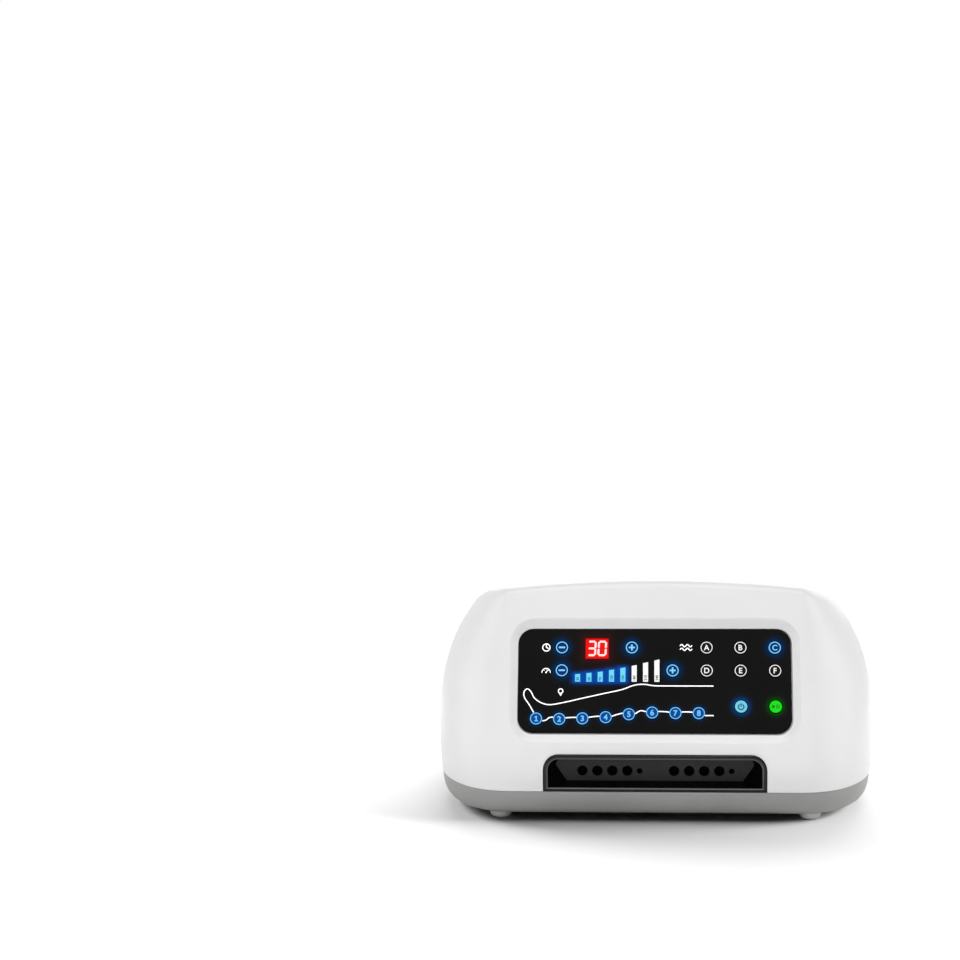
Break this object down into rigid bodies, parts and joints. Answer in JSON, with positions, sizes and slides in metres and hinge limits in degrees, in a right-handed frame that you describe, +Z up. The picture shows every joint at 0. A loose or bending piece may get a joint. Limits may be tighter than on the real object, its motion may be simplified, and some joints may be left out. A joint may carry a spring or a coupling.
{
  "type": "compression therapy pump",
  "caption": "Tabletop air compression therapy pump with a sloped key panel, a front port bay for cuff hoses, a rear mains inlet and rubber feet.",
  "frame": {"origin": "bottom centre of the pump, on the plane that the feet stand on", "axes": "+X to the right seen from the front, +Y to the back, +Z up; the key panel faces -Y"},
  "size_m": [0.281, 0.2, 0.1423],
  "materials": {
    "white_shell": "smooth satin gloss, moulded",
    "grey_shell": "fine moulded texture",
    "panel_black": "polished, printed from behind",
    "bay_black": "fine moulded texture",
    "key_black": "polished cap with a backlit ring",
    "lens_red": "polished tinted window",
    "foot_rubber": "matt",
    "dark_rubber": "matt",
    "steel": "zinc plated",
    "cast_aluminium": "as cast",
    "core_iron": "varnished laminations",
    "board_green": "solder mask",
    "valve_plastic": "moulded",
    "tube": "soft translucent tube",
    "cable_grey": "flat insulated strip"
  },
  "bodies": {
    "casing": {"upper_shell": "white_shell", "lower_shell": "grey_shell", "port_bay": "bay_black", "port_block": "bay_black", "control_panel": "panel_black", "display_lens": "lens_red", "display_module": "valve_plastic", "control_board": "board_green", "foot_front_left": "foot_rubber", "foot_front_right": "foot_rubber", "foot_rear_left": "foot_rubber", "foot_rear_right": "foot_rubber", "compressor_head_left": "cast_aluminium", "compressor_head_right": "cast_aluminium", "case_screw_1": "steel", "compressor_mount_1": "dark_rubber", "case_screw_2": "steel", "compressor_mount_2": "dark_rubber", "case_screw_3": "steel", "compressor_mount_3": "dark_rubber", "case_screw_4": "steel", "compressor_mount_4": "dark_rubber", "compressor_body": "steel", "valve_manifold": "valve_plastic", "valve_1": "valve_plastic", "valve_2": "valve_plastic", "valve_3": "valve_plastic", "valve_4": "valve_plastic", "valve_5": "valve_plastic", "valve_6": "valve_plastic", "valve_7": "valve_plastic", "valve_8": "valve_plastic", "feed_tube": "tube", "transformer": "core_iron", "main_board": "board_green", "ribbon_cable": "cable_grey", "mains_inlet": "bay_black", "switch_frame": "bay_black"},
    "key_time_minus_body": {"key_time_minus": "key_black"},
    "key_time_plus_body": {"key_time_plus": "key_black"},
    "key_pressure_minus_body": {"key_pressure_minus": "key_black"},
    "key_pressure_plus_body": {"key_pressure_plus": "key_black"},
    "key_mode_a_body": {"key_mode_a": "key_black"},
    "key_mode_b_body": {"key_mode_b": "key_black"},
    "key_mode_c_body": {"key_mode_c": "key_black"},
    "key_mode_d_body": {"key_mode_d": "key_black"},
    "key_mode_e_body": {"key_mode_e": "key_black"},
    "key_mode_f_body": {"key_mode_f": "key_black"},
    "key_power_body": {"key_power": "key_black"},
    "key_start_pause_body": {"key_start_pause": "key_black"},
    "key_position_1_body": {"key_position_1": "key_black"},
    "key_position_2_body": {"key_position_2": "key_black"},
    "key_position_3_body": {"key_position_3": "key_black"},
    "key_position_4_body": {"key_position_4": "key_black"},
    "key_position_5_body": {"key_position_5": "key_black"},
    "key_position_6_body": {"key_position_6": "key_black"},
    "key_position_7_body": {"key_position_7": "key_black"},
    "key_position_8_body": {"key_position_8": "key_black"},
    "rocker_body": {"switch_rocker": "bay_black"},
    "armature_body": {"compressor_armature": "steel"}
  },
  "joints": [
    {"name": "key_time_minus_press", "type": "slide", "parent": "casing", "child": "key_time_minus_body", "axis": [0, 0.9135, -0.4067], "range_m": [0, 0.0005], "stiffness_N_per_m": 1000, "springref_m": -0.0003},
    {"name": "key_time_plus_press", "type": "slide", "parent": "casing", "child": "key_time_plus_body", "axis": [0, 0.9135, -0.4067], "range_m": [0, 0.0005], "stiffness_N_per_m": 1000, "springref_m": -0.0003},
    {"name": "key_pressure_minus_press", "type": "slide", "parent": "casing", "child": "key_pressure_minus_body", "axis": [0, 0.9135, -0.4067], "range_m": [0, 0.0005], "stiffness_N_per_m": 1000, "springref_m": -0.0003},
    {"name": "key_pressure_plus_press", "type": "slide", "parent": "casing", "child": "key_pressure_plus_body", "axis": [0, 0.9135, -0.4067], "range_m": [0, 0.0005], "stiffness_N_per_m": 1000, "springref_m": -0.0003},
    {"name": "key_mode_a_press", "type": "slide", "parent": "casing", "child": "key_mode_a_body", "axis": [0, 0.9135, -0.4067], "range_m": [0, 0.0005], "stiffness_N_per_m": 1000, "springref_m": -0.0003},
    {"name": "key_mode_b_press", "type": "slide", "parent": "casing", "child": "key_mode_b_body", "axis": [0, 0.9135, -0.4067], "range_m": [0, 0.0005], "stiffness_N_per_m": 1000, "springref_m": -0.0003},
    {"name": "key_mode_c_press", "type": "slide", "parent": "casing", "child": "key_mode_c_body", "axis": [0, 0.9135, -0.4067], "range_m": [0, 0.0005], "stiffness_N_per_m": 1000, "springref_m": -0.0003},
    {"name": "key_mode_d_press", "type": "slide", "parent": "casing", "child": "key_mode_d_body", "axis": [0, 0.9135, -0.4067], "range_m": [0, 0.0005], "stiffness_N_per_m": 1000, "springref_m": -0.0003},
    {"name": "key_mode_e_press", "type": "slide", "parent": "casing", "child": "key_mode_e_body", "axis": [0, 0.9135, -0.4067], "range_m": [0, 0.0005], "stiffness_N_per_m": 1000, "springref_m": -0.0003},
    {"name": "key_mode_f_press", "type": "slide", "parent": "casing", "child": "key_mode_f_body", "axis": [0, 0.9135, -0.4067], "range_m": [0, 0.0005], "stiffness_N_per_m": 1000, "springref_m": -0.0003},
    {"name": "key_power_press", "type": "slide", "parent": "casing", "child": "key_power_body", "axis": [0, 0.9135, -0.4067], "range_m": [0, 0.0005], "stiffness_N_per_m": 1000, "springref_m": -0.0003},
    {"name": "key_start_pause_press", "type": "slide", "parent": "casing", "child": "key_start_pause_body", "axis": [0, 0.9135, -0.4067], "range_m": [0, 0.0005], "stiffness_N_per_m": 1000, "springref_m": -0.0003},
    {"name": "key_position_1_press", "type": "slide", "parent": "casing", "child": "key_position_1_body", "axis": [0, 0.9135, -0.4067], "range_m": [0, 0.0005], "stiffness_N_per_m": 1000, "springref_m": -0.0003},
    {"name": "key_position_2_press", "type": "slide", "parent": "casing", "child": "key_position_2_body", "axis": [0, 0.9135, -0.4067], "range_m": [0, 0.0005], "stiffness_N_per_m": 1000, "springref_m": -0.0003},
    {"name": "key_position_3_press", "type": "slide", "parent": "casing", "child": "key_position_3_body", "axis": [0, 0.9135, -0.4067], "range_m": [0, 0.0005], "stiffness_N_per_m": 1000, "springref_m": -0.0003},
    {"name": "key_position_4_press", "type": "slide", "parent": "casing", "child": "key_position_4_body", "axis": [0, 0.9135, -0.4067], "range_m": [0, 0.0005], "stiffness_N_per_m": 1000, "springref_m": -0.0003},
    {"name": "key_position_5_press", "type": "slide", "parent": "casing", "child": "key_position_5_body", "axis": [0, 0.9135, -0.4067], "range_m": [0, 0.0005], "stiffness_N_per_m": 1000, "springref_m": -0.0003},
    {"name": "key_position_6_press", "type": "slide", "parent": "casing", "child": "key_position_6_body", "axis": [0, 0.9135, -0.4067], "range_m": [0, 0.0005], "stiffness_N_per_m": 1000, "springref_m": -0.0003},
    {"name": "key_position_7_press", "type": "slide", "parent": "casing", "child": "key_position_7_body", "axis": [0, 0.9135, -0.4067], "range_m": [0, 0.0005], "stiffness_N_per_m": 1000, "springref_m": -0.0003},
    {"name": "key_position_8_press", "type": "slide", "parent": "casing", "child": "key_position_8_body", "axis": [0, 0.9135, -0.4067], "range_m": [0, 0.0005], "stiffness_N_per_m": 1000, "springref_m": -0.0003},
    {"name": "switch_rocker_tilt", "type": "hinge", "parent": "casing", "child": "rocker_body", "pos_m": [0.026, 0.09406, 0.046], "axis": [1, 0, 0], "range_deg": [-18, 0]},
    {"name": "compressor_armature_stroke", "type": "slide", "parent": "casing", "child": "armature_body", "axis": [1, 0, 0], "range_m": [-0.0015, 0.0015], "stiffness_N_per_m": 1500}
  ]
}
